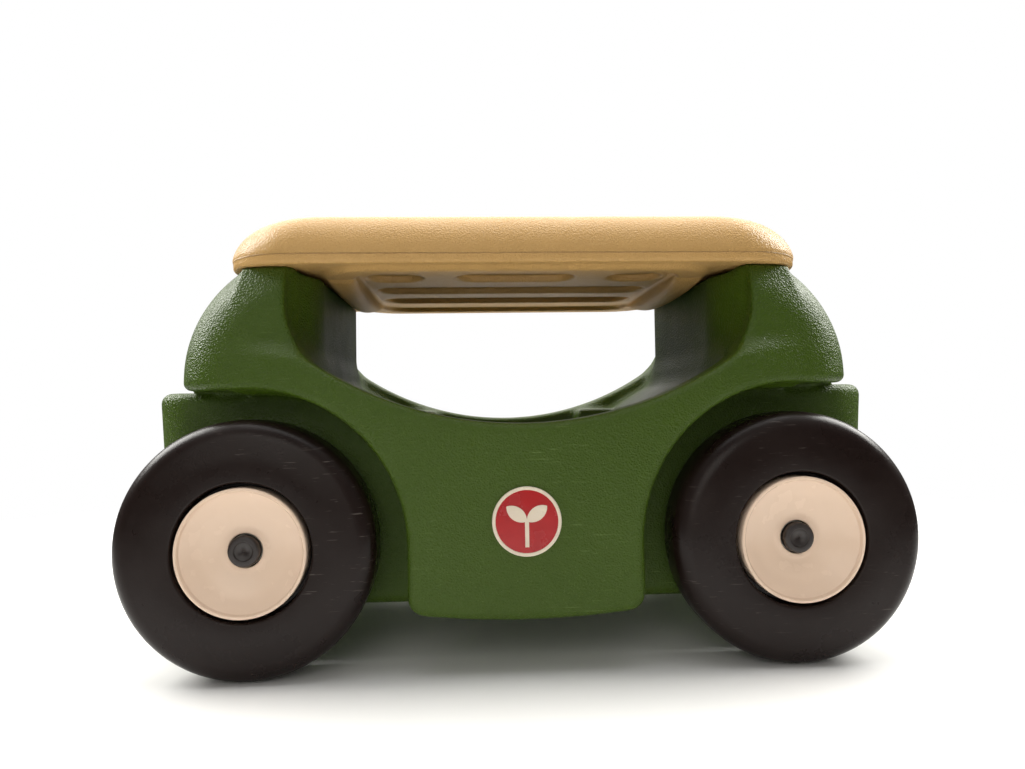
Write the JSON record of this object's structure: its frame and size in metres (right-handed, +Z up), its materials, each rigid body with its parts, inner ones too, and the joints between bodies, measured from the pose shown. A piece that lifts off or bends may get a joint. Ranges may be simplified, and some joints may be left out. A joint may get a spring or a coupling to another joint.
{
  "type": "rolling garden seat",
  "caption": "Low rolling garden seat: hollow moulded body with bowed bumpers and an open tub, lift-off slab seat, and plastic wheels on steel axles.",
  "frame": {"origin": "on the ground, under the middle of the body", "axes": "+X forwards along the length, +Y the left side along the axles, +Z up; the badge faces -Y"},
  "size_m": [0.626, 0.3372, 0.355],
  "materials": {
    "body_plastic": "stippled satin moulded green plastic",
    "seat_plastic": "stippled satin moulded tan plastic",
    "wheel_plastic": "semi-gloss brownish black plastic",
    "disc_plastic": "gloss cream plastic",
    "bushing_plastic": "plain natural plastic",
    "cap_plastic": "semi-gloss black plastic",
    "axle_steel": "plain steel rod",
    "nut_steel": "spring steel",
    "washer_plastic": "plain black plastic",
    "badge_red": "gloss red",
    "badge_cream": "gloss cream"
  },
  "bodies": {
    "chassis": {"body_shell": "body_plastic", "axle_front": "axle_steel", "axle_rear": "axle_steel", "badge_plate": "badge_red", "badge_rim": "badge_cream", "badge_sprout": "badge_cream", "spacer_washer_front_left": "washer_plastic", "push_nut_front_left": "nut_steel", "axle_cap_front_left": "cap_plastic", "spacer_washer_front_right": "washer_plastic", "push_nut_front_right": "nut_steel", "axle_cap_front_right": "cap_plastic", "spacer_washer_rear_left": "washer_plastic", "push_nut_rear_left": "nut_steel", "axle_cap_rear_left": "cap_plastic", "spacer_washer_rear_right": "washer_plastic", "push_nut_rear_right": "nut_steel", "axle_cap_rear_right": "cap_plastic"},
    "seat": {"seat_lid": "seat_plastic"},
    "roller_front_left": {"wheel_front_left": "wheel_plastic", "hub_disc_front_left": "disc_plastic", "bushing_front_left": "bushing_plastic"},
    "roller_front_right": {"wheel_front_right": "wheel_plastic", "hub_disc_front_right": "disc_plastic", "bushing_front_right": "bushing_plastic"},
    "roller_rear_left": {"wheel_rear_left": "wheel_plastic", "hub_disc_rear_left": "disc_plastic", "bushing_rear_left": "bushing_plastic"},
    "roller_rear_right": {"wheel_rear_right": "wheel_plastic", "hub_disc_rear_right": "disc_plastic", "bushing_rear_right": "bushing_plastic"}
  },
  "joints": [
    {"name": "front_left_spin", "type": "hinge", "parent": "chassis", "child": "roller_front_left", "pos_m": [0.209, 0.1425, 0.097], "axis": [0, 1, 0], "continuous": true},
    {"name": "front_right_spin", "type": "hinge", "parent": "chassis", "child": "roller_front_right", "pos_m": [0.209, -0.1425, 0.097], "axis": [0, 1, 0], "continuous": true},
    {"name": "rear_left_spin", "type": "hinge", "parent": "chassis", "child": "roller_rear_left", "pos_m": [-0.209, 0.1425, 0.097], "axis": [0, 1, 0], "continuous": true},
    {"name": "rear_right_spin", "type": "hinge", "parent": "chassis", "child": "roller_rear_right", "pos_m": [-0.209, -0.1425, 0.097], "axis": [0, 1, 0], "continuous": true},
    {"name": "seat_lift", "type": "slide", "parent": "chassis", "child": "seat", "axis": [0, 0, 1], "range_m": [0, 0.12]}
  ]
}
